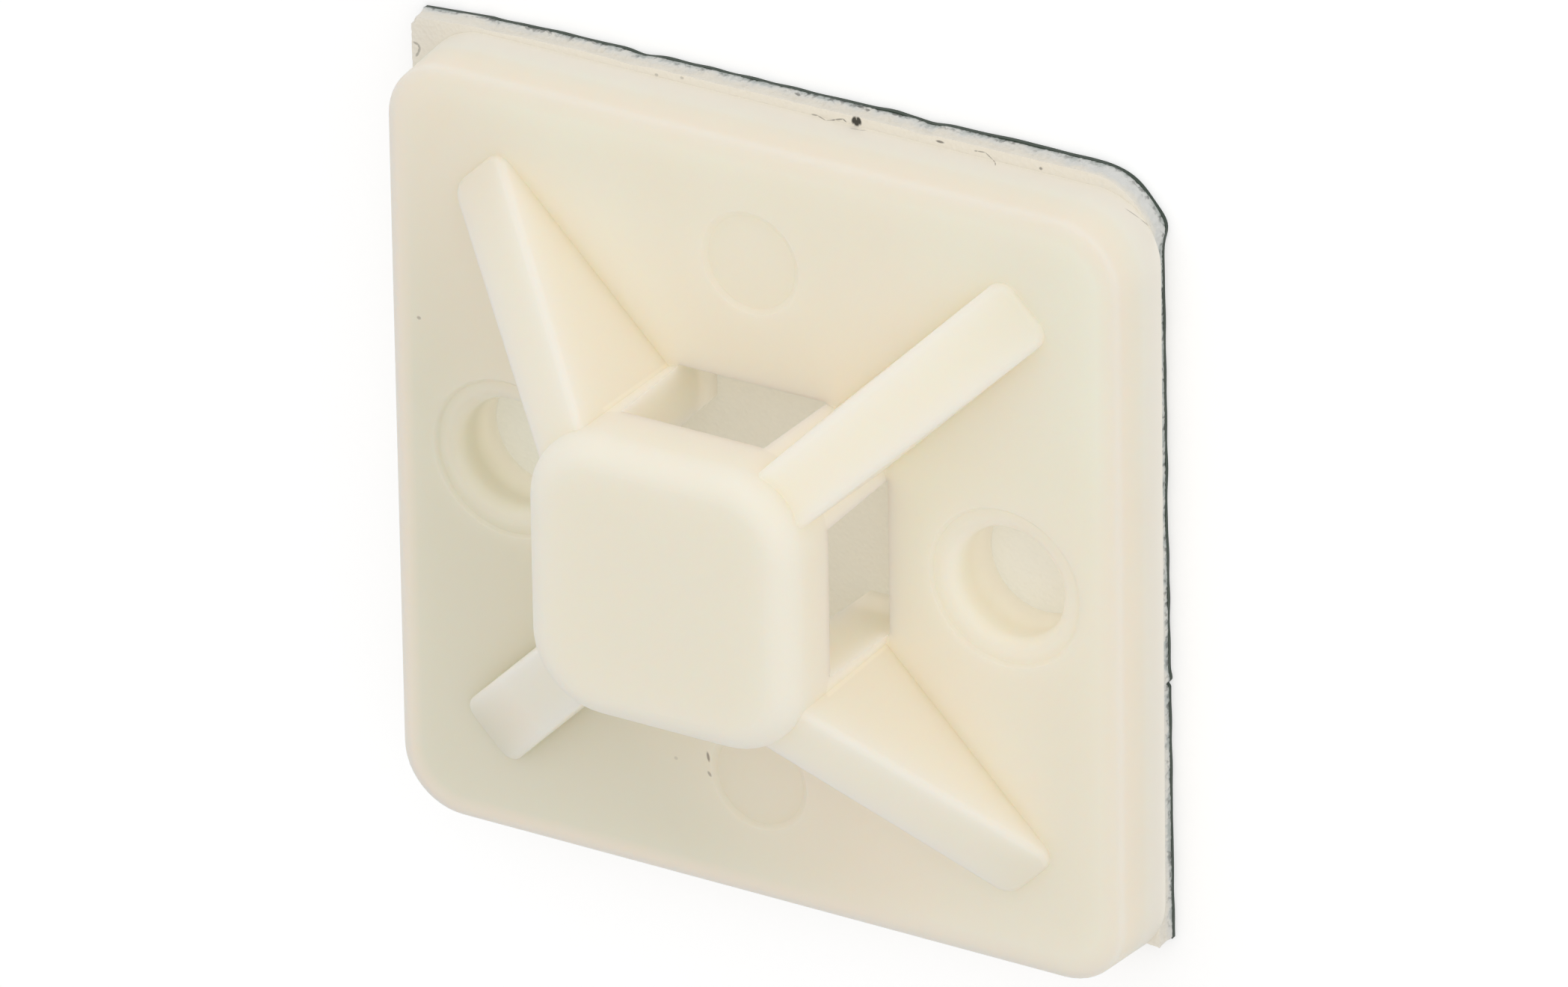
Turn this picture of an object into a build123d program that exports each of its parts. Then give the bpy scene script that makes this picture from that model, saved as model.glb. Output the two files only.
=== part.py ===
from build123d import *
import math
import os

# Square cable tie mount that sticks on with foam tape or screws down. Sizes are in millimetres.
# It lies on its back: +Z points away from the wall, and the screw holes lie along X.
# The origin is the centre of the body's outline, on the outer face of the liner.

# Adhesive layers behind the body, stuck on by hand a little off centre
liner_thickness = 0.15
liner_overhang = 0.05           # past the foam all round
foam_thickness = 0.8
foam_length = 27.95             # along X
foam_width = 27.8               # along Y
foam_offset_x = -0.37
foam_offset_y = 0.43
foam_turn = 0.5                 # degrees
foam_corner_radius = 2.1        # of the one corner that was die-cut, the others are cut square

# Base plate
plate_side = 28.0               # at its back, where it is widest
plate_thickness = 2.55
plate_corner_radius = 2.4
plate_draft = 3.6               # degrees
plate_edge_radius = 0.15        # round its front

# Bridge that the ties pass under
bridge_side = 10.2
bridge_corner_radius = 2.7
bridge_clearance = 3.75         # from the plate's front to the underside
bridge_thickness = 2.55
bridge_edge_radius = 0.95       # round its top

# Tie passages, crossing under the bridge and cored through the plate from behind
passage_width = 5.4             # at the underside of the bridge
passage_draft = 1.7             # degrees, wider towards the back
passage_overrun = 0.03          # past the bridge's walls, where the two halves of the mould meet

# Diagonal ribs that brace the bridge
rib_width = 2.56                # at the plate's front
rib_draft = 1.5                 # degrees
rib_reach = 14.8                # from the centre to the rib's end
rib_end_radius = 0.65           # of the two upright corners there
rib_end_height = 0.1            # of the crest above the plate
rib_drop = 1.1                  # of the crest below the bridge's top, where they meet
rib_root = 0.9                  # how far the rib runs on inside the bridge's corner
rib_edge_radius = 0.25          # along the crest

# Screw holes, with a rounded rim in a shallow ring
hole_spacing = 19.0
hole_diameter = 4.0
hole_rim_radius = 0.5
hole_ring_width = 0.25          # of its flat floor, outside the rim
hole_ring_depth = 0.12

# Blind marks that twin the screw holes on the other axis
mark_spacing = 19.0
mark_diameter = 3.7
mark_depth = 0.12
mark_edge_width = 0.2           # of the slope down to its floor

# Heights that follow
plate_back = liner_thickness + foam_thickness
plate_front = plate_back + plate_thickness
bridge_underside = plate_front + bridge_clearance
bridge_top = bridge_underside + bridge_thickness

# Cutters start and end this far outside the body
cut_margin = 1.0


def base_plate():
    """Square plate with round corners, drafted sides and a softened front edge."""
    outline = RectangleRounded(plate_side, plate_side, plate_corner_radius)
    plate = extrude(Pos(0, 0, plate_back) * outline, amount=plate_thickness, taper=plate_draft)
    return fillet(plate.edges().group_by(Axis.Z)[-1], plate_edge_radius)


def bridge_block():
    """Block with round corners and a rounded top, solid until the passages are cut."""
    outline = RectangleRounded(bridge_side, bridge_side, bridge_corner_radius)
    block = extrude(Pos(0, 0, plate_back) * outline, amount=bridge_top - plate_back)
    return fillet(block.edges().group_by(Axis.Z)[-1], bridge_edge_radius)


def rib():
    """Buttress along +X: a drafted strip with a blunt end, under a straight sloping crest."""
    foot = plate_front - plate_thickness / 2
    spread = (plate_front - foot) * math.tan(math.radians(rib_draft))
    half_width = rib_width / 2 + spread
    corner = bridge_side / math.sqrt(2) - bridge_corner_radius * (math.sqrt(2) - 1)
    start = corner - rib_root
    end = rib_reach + spread
    crest_low = plate_front + rib_end_height
    crest_high = bridge_top - rib_drop
    rise = (crest_high - crest_low) / (rib_reach - corner)

    strip = Pos(start, 0) * Rectangle(end - start, 2 * half_width, align=(Align.MIN, Align.CENTER))
    plan = fillet(strip.vertices().group_by(Axis.X)[-1], rib_end_radius)
    blank = extrude(Pos(0, 0, foot) * plan, amount=bridge_top - foot, taper=rib_draft)
    side = Polyline(
        (start, foot),
        (start, crest_high + rise * rib_root),
        (end, crest_low - rise * spread),
        (end, foot),
        close=True,
    )
    wedge = extrude(Plane.XZ * make_face(side), amount=rib_width, both=True)
    shape = blank & wedge
    crest = shape.faces().filter_by(lambda face: face.normal_at().Z > 0.5).sort_by(Axis.Z)[-1]
    return fillet(crest.edges().sort_by(Axis.X)[1:], rib_edge_radius)


def passages():
    """Plus-shaped core: two crossing drafted bars, from behind the plate to the underside."""
    depth = bridge_underside - plate_back + cut_margin
    top = passage_width / 2
    bottom = top + depth * math.tan(math.radians(passage_draft))
    section = Polyline(
        (-bottom, bridge_underside - depth),
        (-top, bridge_underside),
        (top, bridge_underside),
        (bottom, bridge_underside - depth),
        close=True,
    )
    reach = bridge_side / 2 + passage_overrun
    bar = extrude(Plane.YZ * make_face(section), amount=reach, both=True)
    return bar + Rot(0, 0, 90) * bar


def turned(*lines):
    """Solid of revolution about Z from a closed outline of radius and height."""
    return revolve(Plane.XZ * make_face(lines), Axis.Z)


def screw_hole():
    """Cutter for one hole: straight bore, rounded rim and the shallow ring round it."""
    bore = hole_diameter / 2
    seat = plate_front - hole_ring_depth
    rim = bore + hole_rim_radius
    ring = rim + hole_ring_width
    low = plate_back - cut_margin
    high = plate_front + cut_margin
    return turned(
        Polyline((bore, seat - hole_rim_radius), (bore, low), (0, low), (0, high),
                 (ring + hole_ring_depth, high), (ring + hole_ring_depth, plate_front),
                 (ring, seat), (rim, seat)),
        CenterArc((rim, seat - hole_rim_radius), hole_rim_radius, 90, 90),
    )


def blind_mark():
    """Cutter for one mark: a shallow disc with a sloping edge."""
    radius = mark_diameter / 2
    floor = plate_front - mark_depth
    high = plate_front + cut_margin
    return turned(
        Polyline((radius, plate_front), (radius, high), (0, high),
                 (0, floor), (radius - mark_edge_width, floor), close=True),
    )


def mount_body():
    """The moulding: plate, bridge and ribs, less the passages, holes and marks."""
    body = base_plate() + bridge_block()
    brace = rib()
    for quarter in range(4):
        body += Rot(0, 0, 45 + 90 * quarter) * brace
    body -= passages()
    for side in (-1, 1):
        body -= Pos(side * hole_spacing / 2, 0) * screw_hole()
        body -= Pos(0, side * mark_spacing / 2) * blind_mark()
    return body


def adhesive_layer(bottom, thickness, overhang):
    """One layer of the tape, with one round corner, placed as it is stuck on the body."""
    outline = Rectangle(foam_length + 2 * overhang, foam_width + 2 * overhang)
    die_cut = outline.vertices().sort_by(lambda corner: corner.X + corner.Y)[-1]
    outline = fillet(die_cut, foam_corner_radius + overhang)
    layer = extrude(outline, amount=thickness)
    return Pos(foam_offset_x, foam_offset_y, bottom) * Rot(0, 0, foam_turn) * layer


pieces = {
    "mount_body": mount_body(),
    "foam_tape": adhesive_layer(liner_thickness, foam_thickness, 0),
    "release_liner": adhesive_layer(0, liner_thickness, liner_overhang),
}

os.makedirs("parts", exist_ok=True)
for name, piece in pieces.items():
    export_step(piece, f"parts/{name}.step")
    print(name, len(piece.solids()), "solid", round(piece.volume, 1), "cubic mm")
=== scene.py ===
# %% [markdown]
# # Cable tie mount, stuck on or screwed down
# One natural nylon moulding sits on a square of foam tape, and the tape still has its liner.
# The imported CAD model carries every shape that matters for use, so the moulding is shown as it
# is and gets a finish. The two tape layers are soft, hand-cut things that a solid can only
# block out, so they are made again here with real edges, in the room that their solids hold.

import math

import bpy
import numpy as np
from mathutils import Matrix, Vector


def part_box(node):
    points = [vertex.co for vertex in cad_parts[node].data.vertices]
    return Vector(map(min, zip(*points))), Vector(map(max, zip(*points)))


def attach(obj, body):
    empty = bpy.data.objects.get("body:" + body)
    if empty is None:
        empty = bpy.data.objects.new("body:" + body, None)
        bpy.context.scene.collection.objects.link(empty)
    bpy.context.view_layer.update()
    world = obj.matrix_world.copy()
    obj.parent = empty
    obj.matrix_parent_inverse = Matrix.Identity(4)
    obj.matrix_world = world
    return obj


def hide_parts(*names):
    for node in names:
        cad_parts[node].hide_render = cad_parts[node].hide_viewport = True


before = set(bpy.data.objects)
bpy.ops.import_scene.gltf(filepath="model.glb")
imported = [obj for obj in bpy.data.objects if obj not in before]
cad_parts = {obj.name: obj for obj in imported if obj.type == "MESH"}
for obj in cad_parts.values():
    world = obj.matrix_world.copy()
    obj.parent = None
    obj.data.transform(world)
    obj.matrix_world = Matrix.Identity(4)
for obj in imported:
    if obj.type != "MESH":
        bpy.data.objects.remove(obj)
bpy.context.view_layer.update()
MM = 0.001
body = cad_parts["mount_body"]
foam_low, foam_high = (np.array(corner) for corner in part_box("foam_tape"))
liner_low, liner_high = (np.array(corner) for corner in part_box("release_liner"))

# %% [markdown]
# ## The camera
# The mount is seen from up and to the right with a long lens, so lines that are parallel
# on it stay nearly parallel in the image. A camera is fully described by where it looks,
# the two angles from which it looks, its roll, and how far off it stands: the further away, the
# longer the lens has to be to fill the same frame.

# %% Camera above the mount, looking down on it
WIDTH = 2097
AZIMUTH, ELEVATION, ROLL = math.radians(31.345), math.radians(27.002), math.radians(-0.939)
TARGET = np.array([1.469, 1.685, 4.0]) * MM
DISTANCE = 668.9 * MM
FOCAL_PIXELS = 27383

toward = np.array([
    math.sin(AZIMUTH) * math.cos(ELEVATION),
    math.sin(ELEVATION),
    math.cos(AZIMUTH) * math.cos(ELEVATION),
])
level = np.cross([0, 1, 0], toward)
level /= np.linalg.norm(level)
upright = np.cross(toward, level)
right = level * math.cos(ROLL) + upright * math.sin(ROLL)
above = upright * math.cos(ROLL) - level * math.sin(ROLL)

lens = bpy.data.cameras.new("camera")
lens.sensor_fit = "HORIZONTAL"
lens.sensor_width = 36
lens.lens = FOCAL_PIXELS / WIDTH * lens.sensor_width
lens.clip_start, lens.clip_end = 0.01, 10
camera = bpy.data.objects.new("camera", lens)
turn = np.eye(4)
turn[:3, 0], turn[:3, 1], turn[:3, 2] = right, above, toward
turn[:3, 3] = TARGET + toward * DISTANCE
camera.matrix_world = turn.T.tolist()
bpy.context.scene.collection.objects.link(camera)
bpy.context.scene.camera = camera
print("lens, mm:", round(lens.lens, 1))

# %% [markdown]
# ## Helpers for materials
# A material in Blender is a graph of nodes. One function adds a node, sets its numbers and
# joins its inputs, and another turns the hex colours that people read into the linear light
# values that the renderer works in. A third starts a material, and gives back its parts.

# %% Colours and nodes


def linear(hex_code):
    """An sRGB hex colour as linear light.

    Up to 0.04 it is the value / 12.92, and above it ((value + 0.055) / 1.055) to the power 2.4.
    """
    srgb = np.array([int(hex_code[place:place + 2], 16) for place in (1, 3, 5)]) / 255
    light = np.where(srgb <= 0.04045, srgb / 12.92, ((srgb + 0.055) / 1.055) ** 2.4)
    return (*light.tolist(), 1.0)


def node(tree, kind, inputs=(), **settings):
    """Adds one node: settings are its own properties, inputs its sockets' values or links."""
    added = tree.nodes.new("ShaderNode" + kind)
    for name, value in settings.items():
        setattr(added, name, value)
    for name, value in dict(inputs).items():
        if isinstance(value, bpy.types.NodeSocket):
            tree.links.new(value, added.inputs[name])
        else:
            added.inputs[name].default_value = value
    return added


def new_material(name):
    """An empty material: itself, its tree, surface shader and output, and the object's space."""
    material = bpy.data.materials.new(name)
    material.use_nodes = True
    tree = material.node_tree
    tree.nodes.clear()
    shader = node(tree, "BsdfPrincipled")
    output = node(tree, "OutputMaterial", {"Surface": shader.outputs["BSDF"]})
    place = node(tree, "TexCoord").outputs["Object"]
    return material, tree, shader, output, place


# %% [markdown]
# ## Where things are on the mount
# A finish often changes at a form, such as the foot of a wall, a rim or the inside of a hole.
# The places of those forms are the CAD model's, and they are named here once. Heights count up
# from the face that is stuck down. Because the mount is the same on all four sides, a place
# without its signs is enough to tell how far out a point is: the larger of its X and Y.

# %% Sizes of the mount's own forms
PLATE_BACK, PLATE_FRONT = 0.95 * MM, 3.5 * MM
PLATE_HALF = 14.0 * MM
CORNER_CENTRE = 11.44 * MM
BRIDGE_HALF, BRIDGE_UNDERSIDE = 5.1 * MM, 7.25 * MM
HOLE_FROM_CENTRE, HOLE_RADIUS = 9.5 * MM, 2.0 * MM


def distances(tree, place):
    """The place without its signs, |x|, |y|, |z|, and the larger of |x| and |y|."""
    unsigned = node(tree, "VectorMath", {0: place}, operation="ABSOLUTE").outputs["Vector"]
    parts = node(tree, "SeparateXYZ", {"Vector": unsigned})
    farthest = node(tree, "Math", {
        0: parts.outputs["X"], 1: parts.outputs["Y"],
    }, operation="MAXIMUM")
    return unsigned, farthest.outputs["Value"]


print("plate, mm:", 2 * PLATE_HALF / MM, "bridge, mm:", 2 * BRIDGE_HALF / MM)

# %% [markdown]
# ## Dust and hairs
# The tape's front is sticky where it sticks out past the plate, so it has caught dust, and
# fine hairs run from it up the plate's wall. They are drawn with one shape: an ellipse, worked
# out as the distance from its middle measured in its own half axes. A hair is a row of thin
# ellipses, one for each leg. Two flat maps say where they are, both in millimetres: one looks
# straight down on the mount, and the other unrolls the tape's front and the wall above it.

# %% Ellipses and rows of them
FADE_FROM, FADE_TO = 0.6, 1.1


def ellipse(tree, where, centre, half, turn=0.0, strength=1.0):
    """Strength inside an ellipse, falling to 0 at its rim.

    The distance is the length of (point - centre) / half, once the ellipse is turned back.
    """
    local = node(tree, "Mapping", {
        "Vector": where, "Location": (*centre, 0), "Rotation": (0, 0, turn), "Scale": (*half, 1),
    }, vector_type="TEXTURE")
    away = node(tree, "VectorMath", {0: local.outputs["Vector"]}, operation="LENGTH")
    fade = node(tree, "MapRange", {
        "Value": away.outputs["Value"], "From Min": FADE_FROM, "From Max": FADE_TO,
        "To Min": strength, "To Max": 0,
    })
    return fade.outputs["Result"]


def hair(tree, where, points, half_width, strength):
    """Ellipses along the legs between points, each as long as its leg and turned with it."""
    legs = []
    for start, end in zip(points, points[1:]):
        across, up = end[0] - start[0], end[1] - start[1]
        centre = ((start[0] + end[0]) / 2, (start[1] + end[1]) / 2)
        half = (math.hypot(across, up) / 2 + half_width, half_width)
        legs.append(ellipse(tree, where, centre, half, math.atan2(up, across), strength))
    return legs


def strongest(tree, masks):
    """The largest of several masks at each point."""
    result = masks[0]
    for mask in masks[1:]:
        result = node(tree, "Math", {0: result, 1: mask}, operation="MAXIMUM").outputs["Value"]
    return result


def drawn(tree, where, specks=(), hairs=()):
    """Mask of a table of specks (ellipses) and a table of hairs (points, half width, strength)."""
    masks = [ellipse(tree, where, *speck) for speck in specks]
    for points, half_width, strength in hairs:
        masks += hair(tree, where, points, half_width, strength)
    return strongest(tree, masks)


# %% The two flat maps


def from_above(tree, place):
    """Millimetres along X and Y."""
    flat = node(tree, "VectorMath", {0: place, 1: (1 / MM, 1 / MM, 0)}, operation="MULTIPLY")
    return flat.outputs["Vector"]


def unrolled(tree, place):
    """Millimetres along X, and height less Y, counted from where the wall meets the tape.

    One flat map of the tape's front, which lies below 0, and of the wall, which lies above it.
    """
    along = node(tree, "VectorMath", {0: place, 1: (1 / MM, 0, 0)}, operation="DOT_PRODUCT")
    up = node(tree, "VectorMath", {0: place, 1: (0, -1 / MM, 1 / MM)}, operation="DOT_PRODUCT")
    shifted = node(tree, "Math", {
        0: up.outputs["Value"], 1: (PLATE_HALF - PLATE_BACK) / MM,
    }, operation="ADD")
    flat = node(tree, "CombineXYZ", {"X": along.outputs["Value"], "Y": shifted.outputs["Value"]})
    return flat.outputs["Vector"]


# %% [markdown]
# ## Natural nylon
# The mount is polyamide 6 or 66 in its natural colour, injection moulded. Unpigmented nylon
# isn't quite opaque: light goes in a millimetre or two and comes out warm and soft, so that
# hollows glow instead of going dark, and thin walls are paler than thick ones.
#
# The colour starts with faint large patches, which stand for the flow of the melt. The side away
# from the light is painted greyer, as painted shade for the shadow of the ribs and bridge, and
# the raised crests are painted a touch warmer than the plate, as painted light: the plate is
# backed by white foam, which sends light back through it.

# %% The nylon's colour: melt flow, painted far-side shade and crest tint
nylon, tree, shader, output, place = new_material("natural_nylon_moulded")
height = node(tree, "SeparateXYZ", {"Vector": place}).outputs["Z"]
unsigned, farthest = distances(tree, place)

FLOW_PATCH = 9 * MM
flow = node(tree, "TexNoise", {"Vector": place, "Scale": 1 / FLOW_PATCH, "Detail": 2.0})
tone = node(tree, "MapRange", {"Value": flow.outputs["Fac"], "From Min": 0.35, "From Max": 0.65})
patches = node(tree, "MixRGB", {
    "Fac": tone.outputs["Result"], "Color1": linear("#FDF2E0"), "Color2": linear("#FBEEDC"),
})

# Painted shade: the plate is painted greyer towards -X and -Y, the side away from the light, for
# the shadow of the ribs and bridge.
slope = node(tree, "VectorMath", {0: place, 1: (0.85 / MM, 0.6 / MM, 0)}, operation="DOT_PRODUCT")
far_side_painted_shade = node(tree, "MapRange", {
    "Value": slope.outputs["Value"], "From Min": 1, "From Max": -10, "To Min": 0, "To Max": 1,
})
plate = node(tree, "MixRGB", {
    "Fac": far_side_painted_shade.outputs["Result"],
    "Color1": patches.outputs["Color"], "Color2": linear("#E7E2CF"),
})

# Painted light: the raised parts are painted a touch darker and warmer than the thin plate, which
# white foam behind it lights from the back.
raised = node(tree, "MapRange", {
    "Value": height, "From Min": PLATE_FRONT + 0.05 * MM, "From Max": 6 * MM,
})
crests = node(tree, "MixRGB", {
    "Fac": raised.outputs["Result"],
    "Color1": plate.outputs["Color"], "Color2": linear("#FAEEDD"),
})
print("nylon nodes for the colour:", len(tree.nodes))

# %% [markdown]
# ### Painted light at the foot and painted shade on the rim
# The foot of the plate's wall stands on white foam, and light comes back up into it, so it is
# painted paler: painted bounce light. The rim along the plate's front is thin plastic with light
# on two sides. Scattering alone would leave a slightly green light band there, because red light
# travels furthest and leaks out, so the rim is painted a little redder and darker: painted shade
# that cancels that band, not a colour that the nylon has. The rim follows round corners: its
# distance is taken from the lines and corners of a smaller square, at the centres of the
# plate's corners.

# %% The nylon's colour: painted foot light and rim shade
# Painted bounce light: the foot of the wall is painted paler.
foot = node(tree, "MapRange", {
    "Value": height, "From Min": 1.0 * MM, "From Max": 2.3 * MM, "To Min": 1, "To Max": 0,
})
foot_painted_light = node(tree, "MixRGB", {
    "Fac": foot.outputs["Result"],
    "Color1": crests.outputs["Color"], "Color2": linear("#FFF9EB"),
})

# Painted shade: the rim is painted redder and darker, to cancel the greenish light band there.
past = node(tree, "VectorMath", {
    0: unsigned, 1: (CORNER_CENTRE, CORNER_CENTRE, 1),
}, operation="SUBTRACT").outputs["Vector"]
past = node(tree, "VectorMath", {0: past, 1: (0, 0, 0)}, operation="MAXIMUM").outputs["Vector"]
past = node(tree, "VectorMath", {0: past}, operation="LENGTH").outputs["Value"]
near_rim = node(tree, "MapRange", {"Value": past, "From Min": 1.6 * MM, "From Max": 2.35 * MM})
near_top = node(tree, "MapRange", {"Value": height, "From Min": 2.0 * MM, "From Max": 3.2 * MM})
rim_painted_shade = node(tree, "Math", {
    0: near_rim.outputs["Result"], 1: near_top.outputs["Result"],
}, operation="MULTIPLY")
clean = node(tree, "MixRGB", {
    "Fac": rim_painted_shade.outputs["Value"],
    "Color1": foot_painted_light.outputs["Color"], "Color2": linear("#F9E7D2"),
})
print("nylon nodes with foot and rim:", len(tree.nodes))

# %% [markdown]
# ### Dirt on the moulding
# Four fine hairs lie against the wall, and there are four specks on the plate's front. A speck
# is a row of its centre, its half axes, its turn and its strength.

# %% Hairs and specks on the nylon
WALL_HAIRS = [
    ([(1.13, -0.04), (1.49, 0.11), (1.79, -0.05)], 0.03, 0.5),
    ([(2.46, 0.2), (2.83, 0.19), (3.01, 0.1)], 0.03, 0.3),
    ([(7.73, -0.02), (7.87, 0.1), (7.98, 0.27)], 0.025, 0.5),
    ([(12.86, 0.68), (13.3, 0.84), (13.7, 1.05)], 0.025, 0.4),
]
PLATE_SPECKS = [
    ((-12.81, 4.4), (0.09, 0.07), 0, 0.35),
    ((-3.18, -9.51), (0.08, 0.07), 0, 0.2),
    ((-1.93, -9.14), (0.2, 0.06), 1.75, 0.6),
    ((-1.89, -9.77), (0.12, 0.06), 2.2, 0.45),
]
dirt = strongest(tree, [
    drawn(tree, unrolled(tree, place), hairs=WALL_HAIRS),
    drawn(tree, from_above(tree, place), PLATE_SPECKS),
])
soiled = node(tree, "MixRGB", {
    "Fac": dirt, "Color1": clean.outputs["Color"], "Color2": linear("#5A4238"),
})
tree.links.new(soiled.outputs["Color"], shader.inputs["Base Color"])
print("marks on the nylon:", len(WALL_HAIRS) + len(PLATE_SPECKS))

# %% [markdown]
# ### The moulded surface
# The tool's surface is a fine satin, so the shine is broad and weak. Its texture is drawn
# coarser than the real spark-eroded grain, which would be too fine to show. The plate's front
# edge looks rounder than it is, because light spreads inside it. The Bevel node bends the
# shading there and leaves the mesh alone, and it is held back towards the bridge, where edges
# read crisp, and at the foot, where the wall is cut off flat.

# %% The nylon's relief
GRAIN, GRAIN_DEPTH = 0.12 * MM, 0.01 * MM
rim = node(tree, "MapRange", {
    "Value": farthest, "From Min": 11.5 * MM, "From Max": 13 * MM,
    "To Min": 0.0, "To Max": 0.6 * MM,
})
above_tape = node(tree, "MapRange", {"Value": height, "From Min": 1.3 * MM, "From Max": 1.9 * MM})
rounding = node(tree, "Math", {
    0: rim.outputs["Result"], 1: above_tape.outputs["Result"],
}, operation="MULTIPLY")
soft_edges = node(tree, "Bevel", {"Radius": rounding.outputs["Value"]}, samples=6)
grain = node(tree, "TexNoise", {"Vector": place, "Scale": 1 / GRAIN, "Detail": 2.0})
relief = node(tree, "Bump", {
    "Height": grain.outputs["Fac"], "Strength": 0.15, "Distance": GRAIN_DEPTH,
    "Normal": soft_edges.outputs["Normal"],
})
tree.links.new(relief.outputs["Normal"], shader.inputs["Normal"])
shader.inputs["Roughness"].default_value = 0.6
shader.inputs["IOR"].default_value = 1.53
shader.inputs["Specular IOR Level"].default_value = 0.25
print("grain, mm:", GRAIN / MM)

# %% [markdown]
# ### Light inside the moulding
# Subsurface scattering carries light about two millimetres through the plastic. It is weaker
# at the foot of the wall, where the renderer would let light leak out through the covered
# back of the moulding and leave a dark band.
#
# Two more things stand for light that has scattered many times, which the renderer would need
# very long to find. The hollows, that is the tie passages and the screw holes, glow weakly by
# themselves. And a shadow ray passes through the moulding nearly unhindered, so that no side
# goes dark. The glow is far too weak to light anything else, so it is left out of the list of
# lamps, which keeps the render quick.

# %% The nylon's scattering, glow and shadow
backed = node(tree, "MapRange", {
    "Value": height, "From Min": PLATE_BACK, "From Max": 2.4 * MM, "To Min": 0.1, "To Max": 1,
})
tree.links.new(backed.outputs["Result"], shader.inputs["Subsurface Weight"])
shader.inputs["Subsurface Radius"].default_value = (0.7, 0.85, 1.0)
shader.inputs["Subsurface Scale"].default_value = 2.2 * MM

HOLLOW_GLOW = 0.036
in_bridge = node(tree, "MapRange", {
    "Value": farthest,
    "From Min": BRIDGE_HALF - 0.05 * MM, "From Max": BRIDGE_HALF - 0.01 * MM,
    "To Min": 1, "To Max": 0,
})
under_bridge = node(tree, "MapRange", {
    "Value": height,
    "From Min": BRIDGE_UNDERSIDE + 0.01 * MM, "From Max": BRIDGE_UNDERSIDE + 0.1 * MM,
    "To Min": 1, "To Max": 0,
})
in_passage = node(tree, "Math", {
    0: in_bridge.outputs["Result"], 1: under_bridge.outputs["Result"],
}, operation="MULTIPLY")

to_hole = node(tree, "VectorMath", {
    0: unsigned, 1: (HOLE_FROM_CENTRE, 0, 0),
}, operation="SUBTRACT").outputs["Vector"]
to_hole = node(tree, "VectorMath", {
    0: to_hole, 1: (1, 1, 0),
}, operation="MULTIPLY").outputs["Vector"]
to_hole = node(tree, "VectorMath", {0: to_hole}, operation="LENGTH").outputs["Value"]
in_hole = node(tree, "MapRange", {
    "Value": to_hole, "From Min": HOLE_RADIUS, "From Max": HOLE_RADIUS + 0.3 * MM,
    "To Min": 1.2, "To Max": 0,
})

hollow = strongest(tree, [in_passage.outputs["Value"], in_hole.outputs["Result"]])
glow = node(tree, "Math", {0: hollow, 1: HOLLOW_GLOW}, operation="MULTIPLY")
tree.links.new(glow.outputs["Value"], shader.inputs["Emission Strength"])
shader.inputs["Emission Color"].default_value = (0.95, 1, 0.85, 1)

rays = node(tree, "LightPath")
clear = node(tree, "BsdfTransparent", {"Color": (0.99, 0.99, 0.99, 1)})
surface = node(tree, "MixShader", {
    0: rays.outputs["Is Shadow Ray"], 1: shader.outputs["BSDF"], 2: clear.outputs["BSDF"],
})
tree.links.new(surface.outputs["Shader"], output.inputs["Surface"])
nylon.cycles.emission_sampling = "NONE"
body.data.materials.clear()
body.data.materials.append(nylon)
print("nylon nodes in all:", len(tree.nodes))

# %% [markdown]
# ## The two tape layers
# Foam tape comes in strips and is cut into squares with a blade, so three corners are square
# and its walls are torn a little. Both layers share one outline: a square with a single round
# corner, set a little askew on the plate. The outline is one closed curve of N points, worked
# out once, and a layer is a skin over it: in from the middle underneath, out to the edge, up
# the wall and back to the middle on top. As a surface it is a function of two parameters, how
# far round and how far along that section.

# %% The outline that both layers share
FOAM_LENGTH, FOAM_WIDTH = 27.95 * MM, 27.8 * MM
FOAM_TURN = math.radians(0.5)
FOAM_OFFSET = np.array([-0.37, 0.43]) * MM
ROUND_CORNER = 2.1 * MM
LINER_OVERHANG = 0.05 * MM
AROUND = 2400
ARC_POINTS = 24


def outline(overhang):
    """Closed curve of a rectangle with one round corner, its points spaced evenly by length."""
    half = np.array([FOAM_LENGTH / 2 + overhang, FOAM_WIDTH / 2 + overhang])
    bend = ROUND_CORNER + overhang
    angle = np.linspace(0, math.pi / 2, ARC_POINTS)
    arc = half - bend + bend * np.stack([np.cos(angle), np.sin(angle)], axis=1)
    corners = np.concatenate([[[half[0], -half[1]]], arc, [[-half[0], half[1]], -half]])
    closed = np.vstack([corners, corners[:1]])
    length = np.concatenate([[0], np.cumsum(np.linalg.norm(np.diff(closed, axis=0), axis=1))])
    steps = np.linspace(0, length[-1], AROUND, endpoint=False)
    return np.stack([np.interp(steps, length, closed[:, axis]) for axis in (0, 1)], axis=1)


def placed(points):
    """Points of the outline, turned and moved to where the tape is stuck on the plate."""
    cosine, sine = math.cos(FOAM_TURN), math.sin(FOAM_TURN)
    return points @ np.array([[cosine, sine], [-sine, cosine]]) + FOAM_OFFSET


print("outline points:", len(outline(0)))

# %% [markdown]
# Torn foam isn't random in the way that television snow is: it has long waves from the hand
# that cut it, and short ones from its cells. A sum of sine waves round the outline gives both,
# and because each wave fits a whole number of times, the curve closes without a step.

# %% Waves that close on themselves
rng = np.random.default_rng(7)


def waves(count, lowest, highest, rows=1, drift=0.0):
    """Sum of sine waves round the outline, of average size 1; each row is shifted by drift."""
    number = rng.integers(lowest, highest, count)[:, None, None]
    phase = rng.uniform(0, 2 * math.pi, count)[:, None, None]
    shift = rng.normal(0, 1, count)[:, None, None] * drift
    around = np.arange(AROUND)[None, None, :] / AROUND * 2 * math.pi
    row = np.arange(rows)[None, :, None]
    return np.sin(number * around + phase + shift * row).sum(axis=0) / math.sqrt(count / 2)


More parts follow.
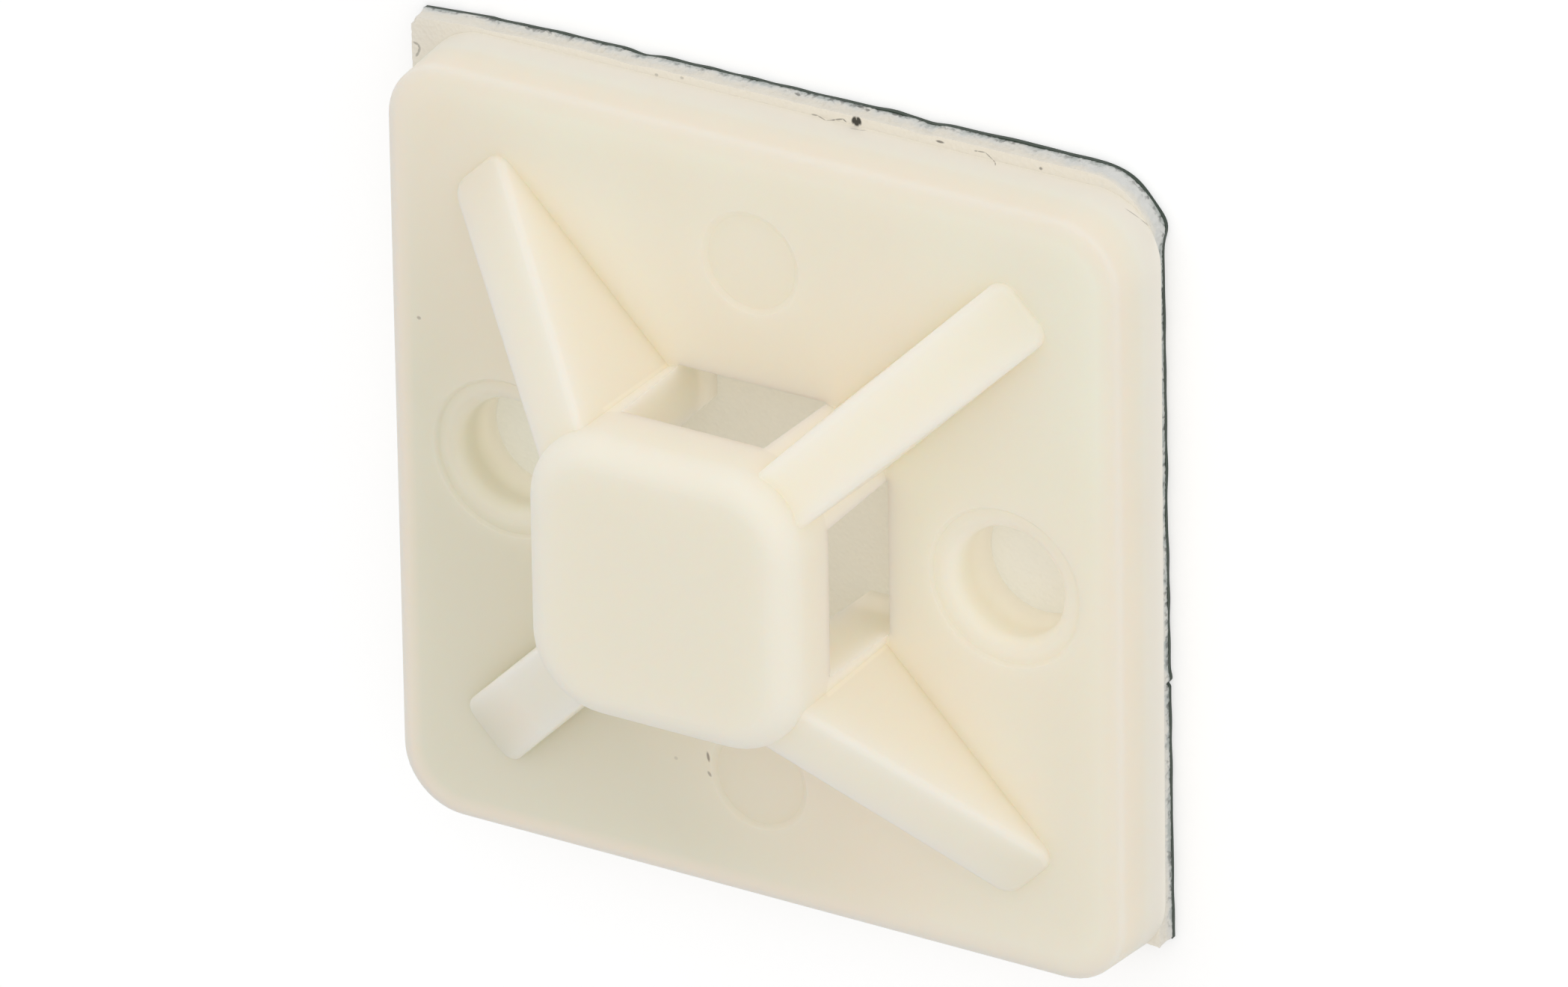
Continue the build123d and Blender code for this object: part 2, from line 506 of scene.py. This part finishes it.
# %% [markdown]
# The skin is a grid: rows of points from the bottom of the wall to its top, one more ring inside
# the edge underneath and one on top, and a point in the middle of each face that closes it.
# The inner rings keep the flat faces' triangles away from the rough edge.

# %% The skin over an outline
INNER_RING = 0.9
CREASE = math.radians(50)


def skin(name, edge, heights):
    """Closed skin: edge is rows of points round the wall from bottom to top, at these heights.

    Under and over the wall the skin runs in to the middle, where all its points meet in one.
    """
    rows = len(edge)
    middle = edge.mean(axis=(0, 1))
    under = middle + (edge[0] - middle) * INNER_RING
    over = middle + (edge[-1] - middle) * INNER_RING
    rings = np.concatenate([under[None], edge, over[None]])
    levels = np.concatenate([heights[:1], heights, heights[-1:]])
    points = np.concatenate([rings, levels[:, :, None]], axis=2).reshape(-1, 3)
    count = edge.shape[1]
    poles = np.array([[*middle, heights[0].mean()], [*middle, heights[-1].mean()]])
    verts = np.concatenate([points, poles])
    ring = np.arange(count)
    after = np.roll(ring, -1)
    row = np.arange(rows + 1)[:, None] * count
    quads = np.stack([row + ring, row + after, row + count + after, row + count + ring], axis=2)
    quads = quads.reshape(-1, 4)
    low, high = len(points), len(points) + 1
    last = (rows + 1) * count
    bottom = np.stack([np.full(count, low), after, ring], axis=1)
    top = np.stack([np.full(count, high), last + ring, last + after], axis=1)
    mesh = bpy.data.meshes.new(name)
    mesh.from_pydata(verts.tolist(), [], quads.tolist() + bottom.tolist() + top.tolist())
    mesh.polygons.foreach_set("use_smooth", [True] * len(mesh.polygons))
    mesh.set_sharp_from_angle(angle=CREASE)
    mesh.update()
    made = bpy.data.objects.new(name, mesh)
    bpy.context.scene.collection.objects.link(made)
    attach(made, "root")
    print(name, "faces:", len(mesh.polygons))
    return made


# %% [markdown]
# ### Nicks
# A few larger faults can be told apart one by one. Each is a bell curve along its side, given
# by where it is, how wide and how deep, and a negative depth stands out. The blade was pulled
# in or let out here and there on the top side. The right side stands out a little all along,
# which is the very wide first mark in its table, and bulges at the top corner and has one sharp
# nick. A mark works only on points whose wall faces its side, so it fades out round a corner.

# %% Nicks along a side


def inward(points):
    """Unit vectors in the plane from each point of the closed curve towards its inside."""
    along = np.roll(points, -1, axis=0) - np.roll(points, 1, axis=0)
    along /= np.linalg.norm(along, axis=1, keepdims=True)
    return np.stack([-along[:, 1], along[:, 0]], axis=1)


def nicks(points, inner, axis, marks):
    """Depth at each point of the side that faces +X (axis 0) or +Y (1).

    It is the sum over the marks of depth * exp(-((place - centre) / width) ** 2), times the
    square of how far the wall there faces that side.
    """
    centre, width, depth = np.array(marks).T * MM
    where = points[:, 1 - axis][:, None]
    bells = depth * np.exp(-(((where - centre) / width) ** 2))
    facing = np.clip(-inner[:, axis], 0, None) ** 2
    return facing * bells.sum(axis=1)


TOP_SIDE = [
    (-11.3, 1.2, 0.06), (-6.0, 0.45, 0.07), (3.5, 0.5, -0.05), (5.0, 0.5, 0.07),
    (8.5, 2.0, -0.04),
]
RIGHT_SIDE = [
    (0.0, 60.0, -0.08), (12.75, 0.55, -0.17), (2.24, 0.8, 0.05), (-3.76, 0.2, -0.05),
    (-3.96, 0.08, 0.1),
]
print("nicks:", len(TOP_SIDE) + len(RIGHT_SIDE))

# %% [markdown]
# ### Two straight cuts
# The top side falls away a little towards its left end, and the top left corner is torn off at
# a slant. Both are planes, given by the direction they face and their distance from the centre,
# and points beyond one are pushed straight back onto it. The slant leans in up the foam's wall.

# %% Cuts across the top left
FALL, FALL_REACH = np.array([-0.075, 0.997]), 15.03 * MM
SLANT = np.array([-0.814, 0.581])
SLANT_FILM, SLANT_UNDER, SLANT_OVER = 19.855 * MM, 19.84 * MM, 19.69 * MM


def cut(points, facing, reach):
    """Points less facing * max(point . facing - reach, 0): none is left beyond the plane."""
    beyond = np.clip(points @ facing - reach, 0, None)
    return points - beyond[..., None] * facing


print("the slant faces, degrees:", round(math.degrees(math.atan2(SLANT[1], SLANT[0])), 1))

# %% [markdown]
# ### The foam
# Its wall is cut through bubbles a tenth of a millimetre across, so it is rough and catches
# dust. The wall gets nine rows of points, pushed in by the waves, most in the middle rows.

# %% Foam layer
WALL_ROWS = 9
CELLS, BLADE = 0.018 * MM, 0.02 * MM
MEAN_TEAR, DEEPEST_TEAR = 0.05 * MM, 0.16 * MM
RAGGED_CORNER = 0.03 * MM

curve = placed(outline(0))
inner = inward(curve)
share = np.linspace(0, 1, WALL_ROWS)[:, None]
tear = CELLS * waves(60, 150, 700, WALL_ROWS, 1.2) + BLADE * waves(20, 20, 120, WALL_ROWS, 0.4)
tear = np.clip(tear + MEAN_TEAR, 0, DEEPEST_TEAR) * np.sin(math.pi * np.clip(share, 0.08, 0.92))
tear += np.clip(nicks(curve, inner, 1, TOP_SIDE), 0, None) + nicks(curve, inner, 0, RIGHT_SIDE)
slant_reach = SLANT_UNDER + (SLANT_OVER - SLANT_UNDER) * share
slant_reach = slant_reach + RAGGED_CORNER * waves(30, 100, 400, WALL_ROWS, 0.8)
edge = curve[None] + inner[None] * tear[:, :, None]
edge = cut(cut(edge, FALL, FALL_REACH), SLANT, slant_reach)
foam_heights = foam_low[2] + (foam_high[2] - foam_low[2]) * np.repeat(share, AROUND, axis=1)
foam = skin("foam_layer", edge, foam_heights)
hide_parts("foam_tape")

# %% [markdown]
# ### The liner
# The liner is a dark green release film, a tenth of a millimetre or so thick, that stands
# proud of the foam by less than its own thickness. Its cut edge wavers slightly.

# %% Liner
FILM_ROWS = 3
FILM_INSET, FILM_WAVER = 0.05 * MM, 0.008 * MM

curve = placed(outline(LINER_OVERHANG))
inner = inward(curve)
share = np.linspace(0, 1, FILM_ROWS)[:, None]
waver = FILM_INSET + FILM_WAVER * waves(14, 8, 90)[0] + nicks(curve, inner, 1, TOP_SIDE)
waver = np.clip(waver, 0, None) + nicks(curve, inner, 0, RIGHT_SIDE)
line = curve + inner * waver[:, None]
line = cut(cut(line, FALL, FALL_REACH), SLANT, SLANT_FILM)
edge = np.repeat(line[None], FILM_ROWS, axis=0)
liner_heights = liner_low[2] + (liner_high[2] - liner_low[2]) * np.repeat(share, AROUND, axis=1)
liner = skin("liner_film", edge, liner_heights)
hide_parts("release_liner")

# %% [markdown]
# ## Foam and film finishes
# The foam is polyethylene, blown white, with an open cut face. Next to the liner it is painted
# bluish grey, partly for dirt in its cells and partly as painted shade along the film. Further
# up, and on its sticky front, it is painted with the warm tint of the nylon, as painted light
# that the nylon throws onto it, and at the round corner the grey reaches higher. A ragged noise
# stops these bands from running level. What shows of the front inside the slots and holes is
# painted lighter and cooler than the ledge outside, as painted light that stands in for light
# coming through the nylon into the hollows.

# %% The foam's colour
white_foam, tree, shader, output, place = new_material("polyethylene_foam_cut")
height = node(tree, "SeparateXYZ", {"Vector": place}).outputs["Z"]
unsigned, farthest = distances(tree, place)

RAGGED_BAND, BAND_SWING = 0.5 * MM, 0.14 * MM
ragged = node(tree, "TexNoise", {"Vector": place, "Scale": 1 / RAGGED_BAND, "Detail": 3.0})
uneven = node(tree, "MapRange", {
    "Value": ragged.outputs["Fac"], "From Min": 0.3, "From Max": 0.7,
    "To Min": -BAND_SWING, "To Max": BAND_SWING,
})
level = node(tree, "Math", {
    0: height, 1: uneven.outputs["Result"],
}, operation="ADD").outputs["Value"]
diagonal = node(tree, "VectorMath", {0: place, 1: (0.707, 0.707, 0)}, operation="DOT_PRODUCT")
corner = node(tree, "MapRange", {
    "Value": diagonal.outputs["Value"], "From Min": 16.5 * MM, "From Max": 18.3 * MM,
    "To Min": 0, "To Max": 0.35 * MM,
})
above = node(tree, "Math", {0: level, 1: corner.outputs["Result"]}, operation="SUBTRACT")

# Painted shade and dirt: next to the liner the foam is painted bluish grey.
near_film = node(tree, "MapRange", {"Value": level, "From Min": 0.15 * MM, "From Max": 0.33 * MM})
low = node(tree, "MixRGB", {
    "Fac": near_film.outputs["Result"], "Color1": linear("#BCC1BD"), "Color2": linear("#E2E2DE"),
})
# Painted light: inside the slots and holes the front is painted lighter and cooler, and outside it
# is painted with the nylon's warm tint.
outside = node(tree, "MapRange", {
    "Value": farthest, "From Min": 11.8 * MM, "From Max": 12.2 * MM,
})
front_painted_light = node(tree, "MixRGB", {
    "Fac": outside.outputs["Result"], "Color1": linear("#F1F0E6"), "Color2": linear("#EDE7DA"),
})
# Painted light: above the grey band the foam takes the nylon's warm tint.
near_front = node(tree, "MapRange", {
    "Value": above.outputs["Value"], "From Min": 0.22 * MM, "From Max": 0.62 * MM,
})
warm = node(tree, "MixRGB", {
    "Fac": near_front.outputs["Result"],
    "Color1": low.outputs["Color"], "Color2": front_painted_light.outputs["Color"],
})
print("foam nodes for the colour:", len(tree.nodes))

# %% [markdown]
# ### Dust on the tape, and painted shade at a fold
# Dark specks sit at the bottom of the foam's wall: a noise is cut off so that only its peaks
# are left, and they fade with height. One dark blob, made of three ellipses, sits on the ledge
# with smaller specks beside it, and fine hairs lie along it. At the top left corner a thin dark
# crescent is painted shade, for the shadow in the fold of a bent flap of foam.

# %% Specks, hairs and the painted fold shade
SPECK = 0.22 * MM
teeth = node(tree, "TexNoise", {"Vector": place, "Scale": 1 / SPECK, "Detail": 2.0})
bitten = node(tree, "MapRange", {"Value": teeth.outputs["Fac"], "From Min": 0.52, "From Max": 0.62})
fading = node(tree, "MapRange", {
    "Value": height, "From Min": 0.2 * MM, "From Max": 0.42 * MM, "To Min": 0.6, "To Max": 0,
})
dark_specks_low = node(tree, "Math", {
    0: bitten.outputs["Result"], 1: fading.outputs["Result"],
}, operation="MULTIPLY").outputs["Value"]

LEDGE_SPECKS = [
    ((2.51, -0.2), (0.1, 0.17), 0.35, 0.95),
    ((2.69, -0.22), (0.1, 0.17), -0.35, 0.95),
    ((2.6, -0.13), (0.13, 0.15), 0, 0.95),
    ((5.75, -0.19), (0.17, 0.05), 0, 0.7),
    ((9.53, -0.13), (0.07, 0.06), 0, 0.6),
    ((-5.0, -0.06), (0.08, 0.06), 0, 0.3),
    ((-4.03, -0.18), (0.08, 0.06), 0, 0.3),
    ((0.02, -0.89), (0.14, 0.07), 0.3, 0.6),
    ((0.61, -1.09), (0.12, 0.1), 0, 0.6),
    ((2.33, -1.06), (0.16, 0.09), 0, 0.7),
    ((2.64, -0.97), (0.1, 0.08), 0, 0.6),
    ((3.62, -1.11), (0.14, 0.09), 0, 0.6),
]
LEDGE_HAIRS = [
    ([(0.9, -0.03), (1.13, -0.04), (1.49, 0.11)], 0.03, 0.5),
    ([(1.6, 0.05), (1.79, -0.05), (2.09, -0.14), (2.2, -0.07)], 0.03, 0.6),
    ([(7.05, -0.17), (7.15, -0.19), (7.45, -0.21), (7.73, -0.02)], 0.025, 0.5),
]
# Painted shade: a thin dark crescent for the shadow in the fold of a bent flap of foam.
FOLD_SHADE_CRESCENT = [
    ([(-14.35, 13.04), (-14.19, 13.0), (-14.13, 12.88), (-14.19, 12.7), (-14.27, 12.57)],
     0.05, 0.4),
]
dust_and_painted_shade = strongest(tree, [
    dark_specks_low,
    drawn(tree, unrolled(tree, place), LEDGE_SPECKS, LEDGE_HAIRS),
    drawn(tree, from_above(tree, place), hairs=FOLD_SHADE_CRESCENT),
])
# Dust and the painted fold shade share one dark colour.
dusty_and_shaded = node(tree, "MixRGB", {
    "Fac": dust_and_painted_shade, "Color1": warm.outputs["Color"], "Color2": linear("#26261F"),
})
tree.links.new(dusty_and_shaded.outputs["Color"], shader.inputs["Base Color"])
print("marks on the tape:", len(LEDGE_SPECKS) + len(LEDGE_HAIRS) + len(FOLD_SHADE_CRESCENT))

# %% [markdown]
# ### The foam's cut face
# Cut bubbles leave a pitted, quite matt face. A Voronoi pattern has the right look, cells that
# touch, and it only bends the shading. Foam scatters light within half a millimetre. What shows
# of it at the bottom of the slots gets the same weak glow as the nylon round it.

# %% The foam's pits, scattering and glow
CELL, PIT_DEPTH = 0.16 * MM, 0.05 * MM
SLOT_GLOW = 0.045
cells = node(tree, "TexVoronoi", {"Vector": place, "Scale": 1 / CELL})
pits = node(tree, "Bump", {
    "Height": cells.outputs["Distance"], "Strength": 0.5, "Distance": PIT_DEPTH,
})
tree.links.new(pits.outputs["Normal"], shader.inputs["Normal"])
shader.inputs["Roughness"].default_value = 0.85
shader.inputs["Subsurface Weight"].default_value = 0.2
shader.inputs["Subsurface Radius"].default_value = (1.0, 0.95, 0.9)
shader.inputs["Subsurface Scale"].default_value = 0.5 * MM
in_slot = node(tree, "MapRange", {
    "Value": farthest,
    "From Min": BRIDGE_HALF + 0.3 * MM, "From Max": BRIDGE_HALF + 0.5 * MM,
    "To Min": SLOT_GLOW, "To Max": 0,
})
tree.links.new(in_slot.outputs["Result"], shader.inputs["Emission Strength"])
shader.inputs["Emission Color"].default_value = (0.95, 1, 0.9, 1)
white_foam.cycles.emission_sampling = "NONE"
foam.data.materials.append(white_foam)
print("foam nodes in all:", len(tree.nodes))

# %% [markdown]
# ### The liner's film
# A polyester film, dyed dark green and coated with silicone so that the tape lets go of it.
# The coat is smooth but not polished, so the shine is soft.

# %% Liner material
film, tree, shader, output, place = new_material("silicone_coated_film")
shader.inputs["Base Color"].default_value = linear("#38453A")
shader.inputs["Roughness"].default_value = 0.35
liner.data.materials.append(film)
print("liner nodes:", len(tree.nodes))

# %% [markdown]
# ## Floor and light
# Small parts are often photographed in soft white light over a lit white ground, so there are
# hardly any shadows. A white world does the lighting here. It is brightest on the +Y and +X
# side and falls off towards the opposite one, and a small lamp adds a touch of direction.
# Together they add up to plain daylight level, where a colour renders about as it is written.
# The floor is matt white paper, with no shine to speak of. It shows white to the camera but
# still takes the mount's soft shadow. To all other rays it glows weakly, as a lit white ground
# does, which keeps the foot of the walls bright. It lies a hair below the liner, because two
# faces at the same height would flicker.

# %% Floor
FLOOR_HALF = 1.5
FLOOR_GAP = 0.01 * MM
SEEN, UNSEEN = 0.45, 0.18

grid = np.array([[-1, -1, 0], [1, -1, 0], [1, 1, 0], [-1, 1, 0]]) * FLOOR_HALF
grid[:, 2] = -FLOOR_GAP
floor_mesh = bpy.data.meshes.new("floor")
floor_mesh.from_pydata(grid.tolist(), [], [(0, 1, 2, 3)])
floor = bpy.data.objects.new("floor", floor_mesh)
bpy.context.scene.collection.objects.link(floor)
white_floor, tree, shader, output, place = new_material("white_paper_floor")
shader.inputs["Base Color"].default_value = linear("#D6D6D6")
shader.inputs["Roughness"].default_value = 0.9
rays = node(tree, "LightPath")
seen = node(tree, "Emission", {"Color": (1, 1, 1, 1), "Strength": SEEN})
unseen = node(tree, "Emission", {"Color": (1, 1, 1, 1), "Strength": UNSEEN})
lift = node(tree, "MixShader", {
    0: rays.outputs["Is Camera Ray"], 1: unseen.outputs["Emission"], 2: seen.outputs["Emission"],
})
total = node(tree, "AddShader", {0: shader.outputs["BSDF"], 1: lift.outputs["Shader"]})
tree.links.new(total.outputs["Shader"], output.inputs["Surface"])
floor_mesh.materials.append(white_floor)
print("floor side, m:", 2 * FLOOR_HALF)

# %% World
BRIGHT_SIDE = (0.45, 0.88, 0.12)
DIMMEST, BRIGHTEST = 0.4, 0.96

world = bpy.data.worlds.new("soft_white_room")
world.use_nodes = True
bpy.context.scene.world = world
tree = world.node_tree
tree.nodes.clear()
rays = node(tree, "LightPath")
way = node(tree, "TexCoord").outputs["Generated"]
side = node(tree, "VectorMath", {0: way, 1: BRIGHT_SIDE}, operation="DOT_PRODUCT")
sky = node(tree, "MapRange", {
    "Value": side.outputs["Value"], "From Min": -1, "From Max": 0.3,
    "To Min": DIMMEST, "To Max": BRIGHTEST,
})
room = node(tree, "Background", {"Color": (1, 1, 1, 1), "Strength": sky.outputs["Result"]})
plain = node(tree, "Background", {"Color": (1, 1, 1, 1), "Strength": 1.0})
choice = node(tree, "MixShader", {
    0: rays.outputs["Is Camera Ray"], 1: room.outputs["Background"], 2: plain.outputs["Background"],
})
node(tree, "OutputWorld", {"Surface": choice.outputs["Shader"]})
print("world nodes:", len(tree.nodes))

# %% Lamp


def soft_lamp(name, direction, distance, side, level):
    """Square lamp facing the mount. Lit square on, a white card would render at this level."""
    light = bpy.data.lights.new(name, "AREA")
    light.shape = "SQUARE"
    light.size = side
    light.energy = level * (math.pi * distance) ** 2
    lamp = bpy.data.objects.new(name, light)
    toward_lamp = np.array(direction, float)
    toward_lamp /= np.linalg.norm(toward_lamp)
    sideways = np.cross([0, 0, 1], toward_lamp)
    sideways /= np.linalg.norm(sideways)
    pose = np.eye(4)
    pose[:3, 0], pose[:3, 1], pose[:3, 2] = sideways, np.cross(toward_lamp, sideways), toward_lamp
    pose[:3, 3] = toward_lamp * distance
    lamp.matrix_world = pose.T.tolist()
    bpy.context.scene.collection.objects.link(lamp)
    return lamp


softbox = soft_lamp("softbox", direction=(0.5, 0.7, 1.0), distance=0.14, side=0.1, level=0.03)
print("softbox, W:", round(softbox.data.energy, 4))

# %% [markdown]
# ## Finish
# The view transform is Standard, so a colour is shown as it was worked out.

# %% The end
bpy.context.scene.view_settings.view_transform = "Standard"
